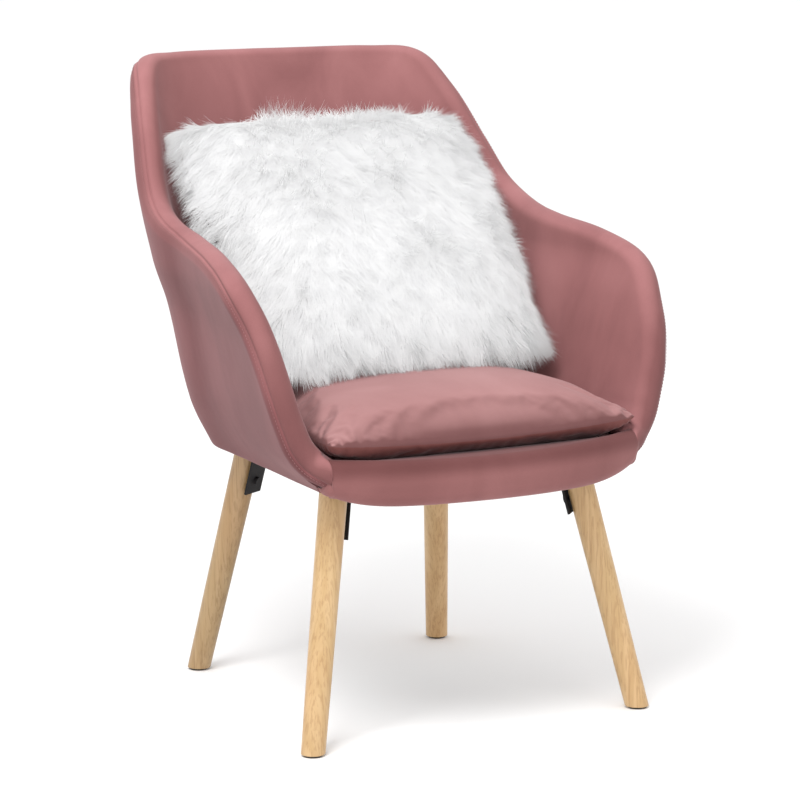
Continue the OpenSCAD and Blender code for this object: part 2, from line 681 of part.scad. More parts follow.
// A zip lies in its own frame: it runs along X and its outer face is +Z.
zip_tape_t = 1.2;
zip_half_w = 8;
zip_off = 0.4;
cushion_zip_half_l = 145;
pillow_zip_half_l = 135;
pin_z = 4.6;
module zip_tape(half_l) {
    translate([-half_l, -zip_half_w, zip_off]) cube([2 * half_l, 2 * zip_half_w, zip_tape_t]);
}
module zip_slider() {
    translate([0, 0, zip_off + zip_tape_t + 0.2]) {
        translate([-5, -4.5, 0]) cube([10, 9, 2.5]);
        for (y = [-3.9, 3.1]) translate([-2, y, 2]) cube([4, 0.8, 4]);
        translate([0, 0, pin_z]) rotate([90, 0, 0]) cylinder(d = 1.4, h = 7.4, center = true);
    }
}
module zip_pull() {
    pull_l = 20;
    translate([0, 0, zip_off + zip_tape_t + 0.2 + pin_z]) difference() {
        union() {
            rotate([90, 0, 0]) cylinder(d = 3.4, h = 5.4, center = true);
            translate([0, -2.7, -0.5]) cube([pull_l, 5.4, 1]);
        }
        rotate([90, 0, 0]) cylinder(d = 2, h = 7, center = true);
    }
}
module cushion_zip_frame() {
    translate([0, cushion_rear_y, cushion_edge_z]) rotate([-90, 0, 0]) children();
}
module pillow_zip_frame() {
    pillow_frame() translate([0, 0, -pillow_half_h]) rotate([180, 0, 0]) children();
}
cushion_zip_start = -135;
pillow_zip_start = -125;
module cushion_zip_tape() {
    color(velvet_dark) cushion_zip_frame() zip_tape(cushion_zip_half_l);
}
module cushion_zip_slider() {
    color(steel) cushion_zip_frame() translate([cushion_zip_start, 0, 0]) zip_slider();
}
module cushion_zip_pull() {
    color(steel) cushion_zip_frame() translate([cushion_zip_start, 0, 0]) zip_pull();
}
module pillow_zip_tape() {
    color([0.9, 0.9, 0.9]) pillow_zip_frame() zip_tape(pillow_zip_half_l);
}
module pillow_zip_slider() {
    color([0.9, 0.9, 0.9]) pillow_zip_frame() translate([pillow_zip_start, 0, 0]) zip_slider();
}
module pillow_zip_pull() {
    color([0.9, 0.9, 0.9]) pillow_zip_frame() translate([pillow_zip_start, 0, 0]) zip_pull();
}

outer_cover();
inner_cover();
back_foam();
left_arm_foam();
right_arm_foam();
outer_back_padding();
left_outer_padding();
right_outer_padding();
rim_hoop();
waist_bar();
back_posts();
arm_posts();
back_webbing();
frame_feet();
frame_feet_screws();
seat_board();
front_rail();
rail_blocks();
seat_webbing_long();
seat_webbing_cross();
seat_deck_foam();
seat_deck_cover();
front_panel_foam();
front_panel_cover();
dust_cover();
front_left_leg();
front_right_leg();
rear_left_leg();
rear_right_leg();
front_left_bracket();
front_right_bracket();
rear_left_bracket();
rear_right_bracket();
bracket_screws();
leg_bolts();
leg_inserts();
foot_glides();
cushion_top_panel();
cushion_bottom_panel();
cushion_foam();
cushion_zip_tape();
cushion_zip_slider();
cushion_zip_pull();
pillow_fur_panel();
pillow_back_panel();
pillow_insert();
pillow_zip_tape();
pillow_zip_slider();
pillow_zip_pull();
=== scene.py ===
# Looks of the upholstered tub armchair: velvet covers, seat cushion, furry pillow, wooden legs,
# steel brackets, light and camera. Metres, +Z up, the seat faces -Y. The covers follow the same
# formulas as the CAD source, whose sizes in millimetres are repeated here.
import math
import bpy
import numpy as np
from mathutils import Matrix, Vector


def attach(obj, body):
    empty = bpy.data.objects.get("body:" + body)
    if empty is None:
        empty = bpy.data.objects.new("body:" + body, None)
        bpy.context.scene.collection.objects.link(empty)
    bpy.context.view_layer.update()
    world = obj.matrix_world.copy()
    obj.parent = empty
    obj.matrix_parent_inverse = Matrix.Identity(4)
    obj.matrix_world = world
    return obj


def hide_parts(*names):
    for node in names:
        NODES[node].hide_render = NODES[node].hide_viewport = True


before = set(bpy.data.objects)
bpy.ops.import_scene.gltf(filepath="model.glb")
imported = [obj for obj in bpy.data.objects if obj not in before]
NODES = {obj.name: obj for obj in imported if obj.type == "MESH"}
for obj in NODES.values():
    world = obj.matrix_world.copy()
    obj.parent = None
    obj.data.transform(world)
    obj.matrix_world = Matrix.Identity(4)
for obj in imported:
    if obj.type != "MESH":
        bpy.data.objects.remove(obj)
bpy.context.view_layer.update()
MM = 0.001

# ---- The shell's shape, in millimetres ------------------------------------------------------

HALF_WIDTH = [(345, 190), (410, 222), (540, 251), (600, 269), (700, 277), (860, 250)]
CURVE_START_Y = [(345, 50), (450, 35), (600, 30), (730, 72), (860, 147)]
BACK_Y = [(345, 126), (450, 165), (600, 215), (730, 275), (860, 345)]
SQUARENESS = [(345, 4), (450, 3.4), (600, 3), (720, 2.9), (860, 3.3)]
SPLAY = [(345, 0.03), (384, 0.13), (420, 0.155), (550, 0.2), (650, 0.21), (860, 0.21)]
SPLAY_EASE = 60
FRONT_LIMIT_Y = -322
BACK_TOP_Z = 838
EDGE_LINE = [(0.085, 366), (0.13, 383), (0.155, 425), (0.18, 473), (0.245, 527), (0.385, 583),
             (0.62, 609), (0.88, 621), (1.06, 634), (1.20, 665), (1.275, 723), (1.335, 790),
             (1.405, BACK_TOP_Z - 5), (1.56, BACK_TOP_Z), (1.78, BACK_TOP_Z), (2, BACK_TOP_Z)]
BASE_TURN = [0.2, 0.21, 0.23, 0.28, 0.36, 0.5, 0.7, 0.93, 1.12, 1.35, 1.5, 1.62, 1.72, 1.8, 1.9, 2]
SEAM_LINE = [(0, 42), (6, 42), (8, 30), (9.5, 8), (11.5, 8), (13, 42), (15, 42)]
EDGE_TURN_TABLE = [(i, e[0]) for i, e in enumerate(EDGE_LINE)]
EDGE_Z_TABLE = [(i, e[1]) for i, e in enumerate(EDGE_LINE)]
BASE_TURN_TABLE = list(enumerate(BASE_TURN))
EDGE_N = len(EDGE_LINE) - 1
ARM_PART = 6
ROLL_R = 20
COVER_T = 1.8
FOAM_R = 17.9
CORE_HALF = 8.4
BASE_Z = 345
BOARD_Z = 338
DECK_Z = 374
TUCK_Z = 376.5
FULLNESS = 12


def smooth_at(table, x):
    """A smooth curve through the table's points, with slopes taken from the neighbours."""
    xs = np.array([p[0] for p in table], float)
    ys = np.array([p[1] for p in table], float)
    low = np.maximum(np.arange(len(xs)) - 1, 0)
    high = np.minimum(np.arange(len(xs)) + 1, len(xs) - 1)
    slopes = (ys[high] - ys[low]) / (xs[high] - xs[low])
    i = np.clip(np.searchsorted(xs, x, side="right") - 1, 0, len(xs) - 2)
    step = xs[i + 1] - xs[i]
    t = (x - xs[i]) / step
    rise = (2 * t**3 - 3 * t**2 + 1) * ys[i] + (3 * t**2 - 2 * t**3) * ys[i + 1]
    return rise + step * ((t**3 - 2 * t**2 + t) * slopes[i] + (t**3 - t**2) * slopes[i + 1])


def unit(v):
    return v / np.linalg.norm(v, axis=-1, keepdims=True)


def ramp(x, low, high):
    t = np.clip((x - low) / (high - low), 0, 1)
    return t * t * (3 - 2 * t)


def shell_at(turn, z):
    """A place on the shell's middle surface. turn is 0 at the arm's front and 2 at mid back."""
    w = smooth_at(HALF_WIDTH, z)
    y0 = smooth_at(CURVE_START_Y, z)
    t = (y0 - FRONT_LIMIT_Y) * (1 - turn)
    side_x = w + smooth_at(SPLAY, z) * (np.sqrt(t**2 + SPLAY_EASE**2) - SPLAY_EASE)
    q = np.pi / 2 * (turn - 1)
    n = smooth_at(SQUARENESS, z)
    d = smooth_at(BACK_Y, z) - y0
    r = (np.abs(np.cos(q) / w) ** n + np.abs(np.sin(q) / d) ** n) ** (-1 / n)
    x = np.where(turn < 1, side_x, r * np.cos(q))
    y = np.where(turn < 1, y0 - t, y0 + r * np.sin(q))
    return np.stack([x, y, z + 0 * x], -1)


def shell_normal(turn, z):
    t = np.minimum(turn, 1.99)
    n = unit(np.cross(shell_at(t + 0.01, z) - shell_at(t - 0.01, z),
                      shell_at(t, z + 1) - shell_at(t, z - 1)))
    n[..., 0] = np.where(turn > 1.9999, 0, n[..., 0])
    return unit(n)


def edge_point(u):
    turn = np.minimum(2, smooth_at(EDGE_TURN_TABLE, u))
    return shell_at(turn, smooth_at(EDGE_Z_TABLE, u))


def edge_tangent(u):
    t = unit(edge_point(np.minimum(EDGE_N, u + 0.05)) - edge_point(np.maximum(0, u - 0.05)))
    f = ramp(u, 0, 1)[..., None]
    t = unit(f * t + (1 - f) * np.array([1.0, 0, 0]))
    return np.where((u > EDGE_N - 0.01)[..., None], np.array([-1.0, 0, 0]), t)


def roll_angle(u, v):
    """v round the roll is listed as if the seam were at 45 degrees; this puts it in its place."""
    seam = smooth_at(SEAM_LINE, u)
    shifted = np.where(v <= 45, v * seam / 45, seam + (v - 45) * (90 - seam) / 45)
    return np.where((v <= 0) | (v >= 90), v, shifted)


def strips(first, last, per_unit):
    """Columns from one strip place to another. Places run from 0, the left arm's front end, over
    EDGE_N, mid back, to twice that, the right arm's. Returns each column's u and side."""
    place = np.linspace(first, last, int(round((last - first) * per_unit)) + 1)
    return EDGE_N - np.abs(place - EDGE_N), np.where(place < EDGE_N, -1.0, 1.0)


def layer(columns, v, r, floor):
    """Points at distance r from the shell's middle. v runs round the roll from -90 to 90, then
    past that down a face, where 90 more is its whole length."""
    v = np.asarray(v) + 0 * columns[0][:, None]
    u = columns[0][:, None] + 0 * v
    r = r(u, v) if callable(r) else r + 0 * u
    turn0 = np.minimum(2, smooth_at(EDGE_TURN_TABLE, u))
    z0 = smooth_at(EDGE_Z_TABLE, u)
    along = edge_tangent(u)
    inward = unit(np.cross(along, shell_normal(turn0, z0)))
    q = np.radians(roll_angle(u, v))
    roll = edge_point(u) + r[..., None] * (np.sin(q)[..., None] * np.cross(inward, along)
                                           - np.cos(q)[..., None] * inward)
    s = np.clip((np.abs(v) - 90) / 90, 0, 1)
    low = np.minimum(floor, z0 - 4 - 2 * np.minimum(1, u))
    turn = np.minimum(2, turn0 + (smooth_at(BASE_TURN_TABLE, u) - turn0) * (1 - (1 - s) ** 1.6))
    z = z0 + (low - z0) * s
    out = np.where(v > 0, 1, -1)
    swell = FULLNESS * ramp(turn, 0.9, 1.6) * np.sin(np.pi * s) ** 0.8
    offset = out * (r + np.where(v > 0, 0, swell))
    face = shell_at(turn, z) + offset[..., None] * shell_normal(turn, z)
    points = np.where((np.abs(v) <= 90)[..., None], roll, face)
    points[..., 0] *= columns[1][:, None]
    return points


# ---- Meshes ---------------------------------------------------------------------------------


def add_mesh(name, points, faces, smooth=True):
    """A mesh object from points in metres and a list of faces, or of arrays of faces."""
    mesh = bpy.data.meshes.new(name)
    counts = np.concatenate([np.full(len(f), f.shape[1]) for f in faces])
    loops = np.concatenate([f.ravel() for f in faces])
    mesh.vertices.add(len(points))
    mesh.vertices.foreach_set("co", np.asarray(points, np.float32).ravel())
    mesh.loops.add(len(loops))
    mesh.loops.foreach_set("vertex_index", loops.astype(np.int32))
    mesh.polygons.add(len(counts))
    starts = np.concatenate([[0], np.cumsum(counts)[:-1]])
    mesh.polygons.foreach_set("loop_start", starts.astype(np.int32))
    mesh.update(calc_edges=True)
    mesh.validate()
    mesh.polygons.foreach_set("use_smooth", np.full(len(mesh.polygons), smooth))
    piece = bpy.data.objects.new(name, mesh)
    bpy.context.scene.collection.objects.link(piece)
    return piece


def grid_quads(nc, nr, flip=False):
    a = (np.arange(nc - 1)[:, None] * nr + np.arange(nr - 1)[None]).ravel()
    quads = np.stack([a, a + nr, a + nr + 1, a + 1], -1)
    return quads[:, ::-1] if flip else quads


def wall_quads(a, b, flip=False):
    quads = np.stack([a[:-1], a[1:], b[1:], b[:-1]], -1)
    return quads[:, ::-1] if flip else quads


def solid_between(name, top, bottom):
    """A closed solid between two grids of points in millimetres, like the CAD's. The top grid is
    on the side that column step cross row step points to."""
    nc, nr = top.shape[:2]
    m = nc * nr
    low = np.arange(nc) * nr
    side = np.arange(nr)
    last = (nc - 1) * nr + side
    faces = [grid_quads(nc, nr), grid_quads(nc, nr, True) + m,
             wall_quads(low, low + m, True), wall_quads(low + nr - 1, low + nr - 1 + m),
             wall_quads(side, side + m), wall_quads(last, last + m, True)]
    points = np.concatenate([top.reshape(-1, 3), bottom.reshape(-1, 3)]) * MM
    return add_mesh(name, points, faces)


def wave_noise(points, wavelength, seed, waves=16):
    """Smooth noise about -1 to 1, a sum of waves in seeded directions. points in millimetres."""
    rng = np.random.default_rng(seed)
    ways = unit(rng.normal(size=(waves, 3)))
    pace = 2 * np.pi / wavelength * rng.uniform(0.7, 1.3, waves)
    phase = rng.uniform(0, 2 * np.pi, waves)
    return np.sin(points @ (ways * pace[:, None]).T + phase).sum(-1) / math.sqrt(waves / 2) / 2


# ---- Materials ------------------------------------------------------------------------------


def new_material(name):
    material = bpy.data.materials.new(name)
    material.use_nodes = True
    nodes = material.node_tree.nodes
    return material, nodes, material.node_tree.links, nodes["Principled BSDF"]


def noise_node(nodes, links, vector, scale, detail=3.0, distortion=0.0):
    node = nodes.new("ShaderNodeTexNoise")
    node.inputs["Scale"].default_value = scale
    node.inputs["Detail"].default_value = detail
    node.inputs["Distortion"].default_value = distortion
    links.new(vector, node.inputs["Vector"])
    return node.outputs["Fac"]


def place_node(nodes, links, turn=(0, 0, 0), stretch=(1, 1, 1)):
    """Object coordinates, turned and stretched."""
    where = nodes.new("ShaderNodeTexCoord")
    mapping = nodes.new("ShaderNodeMapping")
    mapping.inputs["Rotation"].default_value = turn
    mapping.inputs["Scale"].default_value = stretch
    links.new(where.outputs["Object"], mapping.inputs["Vector"])
    return mapping.outputs["Vector"]


def colour_ramp(nodes, links, fac, stops):
    node = nodes.new("ShaderNodeValToRGB")
    while len(node.color_ramp.elements) < len(stops):
        node.color_ramp.elements.new(0.5)
    for element, (position, colour) in zip(node.color_ramp.elements, stops):
        element.position = position
        element.color = (*colour, 1)
    links.new(fac, node.inputs["Fac"])
    return node.outputs["Color"]


def mix_colours(nodes, links, fac, a, b, blend="MIX"):
    node = nodes.new("ShaderNodeMix")
    node.data_type = "RGBA"
    node.blend_type = blend
    for value, socket in ((fac, 0), (a, 6), (b, 7)):
        if isinstance(value, bpy.types.NodeSocket):
            links.new(value, node.inputs[socket])
        else:
            node.inputs[socket].default_value = value
    return node.outputs[2]


def bump_node(nodes, links, height, strength, distance, before=None):
    node = nodes.new("ShaderNodeBump")
    node.inputs["Strength"].default_value = strength
    node.inputs["Distance"].default_value = distance
    links.new(height, node.inputs["Height"])
    if before:
        links.new(before, node.inputs["Normal"])
    return node.outputs["Normal"]


def velvet(name, dark, mid, light, painted_light_stops, lit_way=(0, 0, 1), patch=9.0, painted_shade_above=None):
    """Short-pile velvet: brushed patches of lighter and darker pile, sheen and a fine nap. With
    painted light, its shade goes with how far the cloth faces a given way, mostly up, from 0,
    straight away from it, to 1, and with painted shade it is darker above a height."""
    material, nodes, links, shader = new_material(name)
    place = place_node(nodes, links)
    streaks = place_node(nodes, links, stretch=(1, 1, 0.35))
    patches = noise_node(nodes, links, streaks, patch, 4.0, 0.6)
    pile = noise_node(nodes, links, place, 1500.0, 2.0)
    brushed = colour_ramp(nodes, links, patches, [(0.32, dark), (0.5, mid), (0.72, light)])
    flecks = colour_ramp(nodes, links, pile, [(0.3, (0.8, 0.8, 0.8)), (0.7, (1, 1, 1))])
    colour = mix_colours(nodes, links, 0.6, brushed, flecks, "MULTIPLY")
    # Painted shade: the colour is darker above the given height.
    if painted_shade_above:
        parts = nodes.new("ShaderNodeSeparateXYZ")
        height = nodes.new("ShaderNodeMapRange")
        height.interpolation_type = "SMOOTHSTEP"
        height.inputs["From Min"].default_value = painted_shade_above
        height.inputs["From Max"].default_value = painted_shade_above + 0.024
        links.new(place, parts.inputs[0])
        links.new(parts.outputs["Z"], height.inputs["Value"])
        shade = colour_ramp(nodes, links, height.outputs[0],
                            [(0.0, (1, 1, 1)), (1.0, (0.58, 0.51, 0.51))])
        colour = mix_colours(nodes, links, 1.0, colour, shade, "MULTIPLY")
    # Painted light: cloth that faces the given way comes out lighter, cloth that faces away darker.
    if painted_light_stops:
        surface = nodes.new("ShaderNodeNewGeometry")
        facing = nodes.new("ShaderNodeVectorMath")
        facing.operation = "DOT_PRODUCT"
        facing.inputs[1].default_value = lit_way
        share = nodes.new("ShaderNodeMapRange")
        share.inputs["From Min"].default_value = -1.0
        links.new(surface.outputs["Normal"], facing.inputs[0])
        links.new(facing.outputs["Value"], share.inputs["Value"])
        shade = colour_ramp(nodes, links, share.outputs[0], painted_light_stops)
        colour = mix_colours(nodes, links, 1.0, colour, shade, "MULTIPLY")
    links.new(colour, shader.inputs["Base Color"])
    shader.inputs["Roughness"].default_value = 0.85
    shader.inputs["Specular IOR Level"].default_value = 0.15
    shader.inputs["Sheen Weight"].default_value = 0.2
    shader.inputs["Sheen Roughness"].default_value = 0.4
    shader.inputs["Sheen Tint"].default_value = (1.0, 0.78, 0.8, 1)
    creases = noise_node(nodes, links, place, 60.0, 2.0)
    soft = bump_node(nodes, links, creases, 0.12, 0.002)
    links.new(bump_node(nodes, links, pile, 0.25, 0.0003, soft), shader.inputs["Normal"])
    return material


def cloth_like(name, colour, weave, roughness=0.9, sheen=0.1, depth=0.0004):
    """A plain cloth, felt or foam: one colour broken up at the scale of its weave or pores."""
    material, nodes, links, shader = new_material(name)
    place = place_node(nodes, links)
    grain = noise_node(nodes, links, place, weave, 3.0)
    low = [c * 0.75 for c in colour]
    links.new(colour_ramp(nodes, links, grain, [(0.35, low), (0.65, colour)]),
              shader.inputs["Base Color"])
    shader.inputs["Roughness"].default_value = roughness
    shader.inputs["Sheen Weight"].default_value = sheen
    links.new(bump_node(nodes, links, grain, 0.4, depth), shader.inputs["Normal"])
    return material


def webbing_like(name):
    """Woven elastic webbing: ribs along and across."""
    material, nodes, links, shader = new_material(name)
    place = place_node(nodes, links)
    rib = nodes.new("ShaderNodeTexWave")
    rib.inputs["Scale"].default_value = 260.0
    rib.inputs["Distortion"].default_value = 0.6
    links.new(place, rib.inputs["Vector"])
    links.new(colour_ramp(nodes, links, rib.outputs["Fac"],
                          [(0.2, (0.03, 0.03, 0.035)), (0.8, (0.12, 0.12, 0.13))]),
              shader.inputs["Base Color"])
    shader.inputs["Roughness"].default_value = 0.8
    links.new(bump_node(nodes, links, rib.outputs["Fac"], 0.5, 0.0005), shader.inputs["Normal"])
    return material


def wood(name, turn, pale, mid, dark, ring=34.0):
    """Lacquered wood with the grain along local Z after the turn."""
    material, nodes, links, shader = new_material(name)
    grain_place = place_node(nodes, links, turn, (1, 1, 0.035))
    tone_place = place_node(nodes, links, turn, (1, 1, 0.2))
    fine = noise_node(nodes, links, grain_place, 420.0, 4.0, 0.3)
    bands = noise_node(nodes, links, grain_place, ring, 3.0, 1.2)
    tone = noise_node(nodes, links, tone_place, 14.0, 2.0)
    base = colour_ramp(nodes, links, bands, [(0.35, pale), (0.52, mid), (0.66, pale)])
    warm = colour_ramp(nodes, links, tone, [(0.35, (1, 1, 1)), (0.7, (1.0, 0.9, 0.84))])
    pores = colour_ramp(nodes, links, fine, [(0.38, dark), (0.5, (1, 1, 1))])
    toned = mix_colours(nodes, links, 0.8, base, warm, "MULTIPLY")
    links.new(mix_colours(nodes, links, 0.35, toned, pores, "MULTIPLY"),
              shader.inputs["Base Color"])
    shader.inputs["Roughness"].default_value = 0.42
    shader.inputs["Coat Weight"].default_value = 0.12
    shader.inputs["Coat Roughness"].default_value = 0.3
    links.new(bump_node(nodes, links, fine, 0.08, 0.0003), shader.inputs["Normal"])
    return material


def metal(name, low, high, roughness, metallic, shine=0.5):
    """Painted or plain metal with a fine texture and faint cloudy wear."""
    material, nodes, links, shader = new_material(name)
    place = place_node(nodes, links)
    clouds = noise_node(nodes, links, place, 25.0, 4.0)
    peel = noise_node(nodes, links, place, 900.0, 2.0)
    links.new(colour_ramp(nodes, links, clouds, [(0.3, low), (0.7, high)]),
              shader.inputs["Base Color"])
    shader.inputs["Roughness"].default_value = roughness
    shader.inputs["Metallic"].default_value = metallic
    shader.inputs["Specular IOR Level"].default_value = shine
    links.new(bump_node(nodes, links, peel, 0.12, 0.0002), shader.inputs["Normal"])
    return material


def glowing_fur_like(name):
    """Bright white fibres that let light through, with painted light: a faint glow keeps the shaded
    deep fur between them pale. Some locks are a little greyer than others."""
    material, nodes, links, shader = new_material(name)
    locks = noise_node(nodes, links, place_node(nodes, links), 45.0, 2.0)
    tint = colour_ramp(nodes, links, locks,
                       [(0.3, (0.58, 0.58, 0.585)), (0.6, (0.62, 0.62, 0.622))])
    links.new(tint, shader.inputs["Base Color"])
    shader.inputs["Roughness"].default_value = 0.7
    shader.inputs["Specular IOR Level"].default_value = 0.3
    # Painted light: the fibres glow, though they are no lamp.
    shader.inputs["Emission Color"].default_value = (1, 1, 1, 1)
    shader.inputs["Emission Strength"].default_value = 0.44
    through = nodes.new("ShaderNodeBsdfTranslucent")
    links.new(tint, through.inputs["Color"])
    both = nodes.new("ShaderNodeMixShader")
    both.inputs[0].default_value = 0.4
    links.new(shader.outputs[0], both.inputs[1])
    links.new(through.outputs[0], both.inputs[2])
    links.new(both.outputs[0], nodes["Material Output"].inputs["Surface"])
    return material


ROSE_TONES = ((0.29, 0.12, 0.122), (0.338, 0.144, 0.146), (0.4, 0.178, 0.18))
# Painted light on the inner cover and deck: cloth facing up and a little towards -X is lighter,
# cloth facing away darker.
rose = velvet("rose_velvet", *ROSE_TONES,
              [(0.4, (0.5, 0.46, 0.45)), (0.68, (0.61, 0.57, 0.56)), (0.78, (0.8, 0.78, 0.77)),
               (0.92, (1, 1, 1))], (-0.33, 0, 0.94))
# Painted light on the outer cover: cloth facing up is lighter, cloth facing down darker.
rose_outer = velvet("rose_velvet_outer", *ROSE_TONES,
                    [(0.36, (0.44, 0.37, 0.38)), (0.5, (0.66, 0.58, 0.59)),
                     (0.7, (0.68, 0.66, 0.66)), (0.92, (1, 1, 1))])
# Painted shade on the front panel and its corners: darker along the top, under the cushion's
# overhang.
rose_panel = velvet("rose_velvet_panel", (0.225, 0.092, 0.09), (0.25, 0.104, 0.102),
                    (0.28, 0.12, 0.118), None, painted_shade_above=0.352)
# Painted light on the cushion: a lighter, paler copy of the velvet, with cloth facing up lighter
# and its front and sides darker.
rose_seat = velvet("rose_velvet_cushion", (0.33, 0.162, 0.16), (0.37, 0.188, 0.186),
                   (0.41, 0.216, 0.214), [(0.75, (0.42, 0.35, 0.35)), (0.97, (1, 1, 1))], patch=7.0)
# Painted shade: a dark copy of the velvet for the cushion's underside.
rose_painted_shade = velvet("rose_velvet_painted_shade", (0.13, 0.042, 0.038), (0.165, 0.057, 0.052),
                    (0.2, 0.075, 0.07), None)
thread = cloth_like("rose_thread", (0.3, 0.13, 0.13), 3000.0)
foam_look = cloth_like("cream_foam", (0.85, 0.78, 0.56), 700.0, depth=0.001)
fibre_look = cloth_like("white_filling", (0.88, 0.88, 0.87), 200.0)
white_cloth = cloth_like("white_cloth", (0.9, 0.9, 0.9), 1600.0)
dust_look = cloth_like("black_dust_cloth", (0.022, 0.022, 0.024), 1200.0)
felt_look = cloth_like("dark_felt", (0.06, 0.055, 0.05), 1500.0, sheen=0.3)
webbing_look = webbing_like("black_webbing")
black_steel = metal("black_powder_coat", (0.01, 0.009, 0.01), (0.02, 0.018, 0.019), 0.6, 0.0,
                    0.2)
bright_steel = metal("zinc_plate", (0.5, 0.5, 0.52), (0.68, 0.68, 0.7), 0.35, 1.0)
brass_look = metal("plain_brass", (0.6, 0.42, 0.16), (0.72, 0.52, 0.22), 0.35, 1.0)
white_metal = metal("white_zip_metal", (0.7, 0.7, 0.7), (0.8, 0.8, 0.8), 0.4, 0.0)
fur_white = glowing_fur_like("white_fur")
plywood = wood("birch_plywood", (0, math.radians(90), 0), (0.66, 0.48, 0.28), (0.56, 0.38, 0.2),
               (0.5, 0.36, 0.2))


def dress(piece, material):
    piece.data.materials.clear()
    piece.data.materials.append(material)


def finish_piece(piece, body, material, replaced=()):
    dress(piece, material)
    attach(piece, body)
    if replaced:
        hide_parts(*replaced)


# ---- Covers and padding of the shell --------------------------------------------------------

SEAM_V = 45
GROOVE_DEPTH = 1.7
GROOVE_WIDTH = 2.4
COLUMN_RATE = 14
END_ROUND = 4


def rounded_columns():
    """Columns over the whole edge, with a few more at each end that close in on the middle.
    Besides u and side they list how much of the radius is left and how far the column stands
    out past the end."""
    u, side = strips(0, 2 * EDGE_N, COLUMN_RATE)
    angles = np.radians([88, 70, 48, 24])
    full = np.ones(len(u))
    shrink = np.concatenate([np.cos(angles), full, np.cos(angles[::-1])])
    push = np.concatenate([np.sin(angles), 0 * full, np.sin(angles[::-1])]) * END_ROUND
    u = np.concatenate([0 * angles, u, 0 * angles])
    return u, np.concatenate([0 * angles - 1, side, 0 * angles + 1]), shrink, push


all_columns = rounded_columns()


def cover_r(u, v):
    """The cover's distance from the shell's middle, drawn in along the seam on the roll."""
    from_seam = np.abs(roll_angle(u, v) - smooth_at(SEAM_LINE, u)) * np.pi / 180 * ROLL_R
    on_roll = (v >= -90) & (v <= 90)
    return ROLL_R - np.where(on_roll, GROOVE_DEPTH * np.exp(-(from_seam / GROOVE_WIDTH) ** 2), 0)


def cover_layer(v, inset):
    """A cover's outer surface, or the one inset from it, with its ends rounded off."""
    u, side, shrink, push = all_columns
    v = np.asarray(v) + 0 * u[:, None]
    r = (cover_r(u[:, None], v) - inset) * shrink[:, None]
    points = layer((u, side), v, r, TUCK_Z if v[0, 0] < 0 else BASE_Z)
    points[..., 0] -= (side * push)[:, None]
    return points


def ruffled(points, amount, seed):
    """The slight unevenness of padding under cloth."""
    flat = points.reshape(-1, 3)
    bumps = 0.7 * wave_noise(flat, 170, seed) + 0.3 * wave_noise(flat, 60, seed + 1)
    outward = unit(flat - np.array([0, 0, 560]))
    return (flat + (amount * bumps)[:, None] * outward).reshape(points.shape)


inner_v = np.concatenate([np.linspace(-180, -92, 46), np.linspace(-90, 36, 15),
                          np.linspace(38, SEAM_V, 5)])
inner_top = cover_layer(inner_v, 0)
inner_low = cover_layer(inner_v, COVER_T)
inner_cover = solid_between("velvet_inner", ruffled(inner_top, 0.5, 3), ruffled(inner_low, 0.5, 3))
finish_piece(inner_cover, "chair", rose, ["inner_cover"])

# The outer cover turns under the seat: a soft lower edge, then a hem under the board.
TURN_UNDER_Z = 350
HEM_R = 12
HEM_END_Z = 337.7
HEM_END_IN = 12


def turned_under(inset):
    """Rows of points that carry on from the outer face, round its lower edge and inwards."""
    u, side, shrink, push = all_columns
    z = np.full(len(u), float(TURN_UNDER_Z))
    turn = np.minimum(2, smooth_at(BASE_TURN_TABLE, u))
    centre = shell_at(turn, z)
    n = shell_normal(turn, z)
    down = unit(shell_at(turn, z - 4) - centre)
    flat = unit(n * np.array([1.0, 1, 0]))
    rows = []
    for angle in np.radians(np.linspace(9, 63, 7)):
        around = math.cos(angle) * n + math.sin(angle) * down
        rows.append(centre + shrink[:, None] * ((ROLL_R - HEM_R) * n + (HEM_R - inset) * around))
    end = centre - HEM_END_IN * flat
    end[:, 2] = HEM_END_Z + 0.3 * inset
    rows += [rows[6] + part * (end - rows[6]) for part in (0.35, 0.7, 1.0)]
    rows = np.stack(rows, 1)
    rows[..., 0] = side[:, None] * (rows[..., 0] - push[:, None])
    return rows


def outer_layer(inset):
    z0 = smooth_at(EDGE_Z_TABLE, all_columns[0])
    stop = ((z0 - TURN_UNDER_Z) / (z0 - BASE_Z))[:, None]
    roll = np.concatenate([np.linspace(SEAM_V, 52, 5), np.linspace(58, 90, 6)]) + 0 * stop
    face = 90 + 90 * stop * np.linspace(0.02, 1, 40)
    return np.concatenate([cover_layer(np.concatenate([roll, face], 1), inset),
                           turned_under(inset)], 1)


outer_top = outer_layer(0)
outer_low = outer_layer(COVER_T)
outer_cover = solid_between("velvet_outer", ruffled(outer_top, 0.5, 3), ruffled(outer_low, 0.5, 3))
finish_piece(outer_cover, "chair", rose_outer, ["outer_cover"])

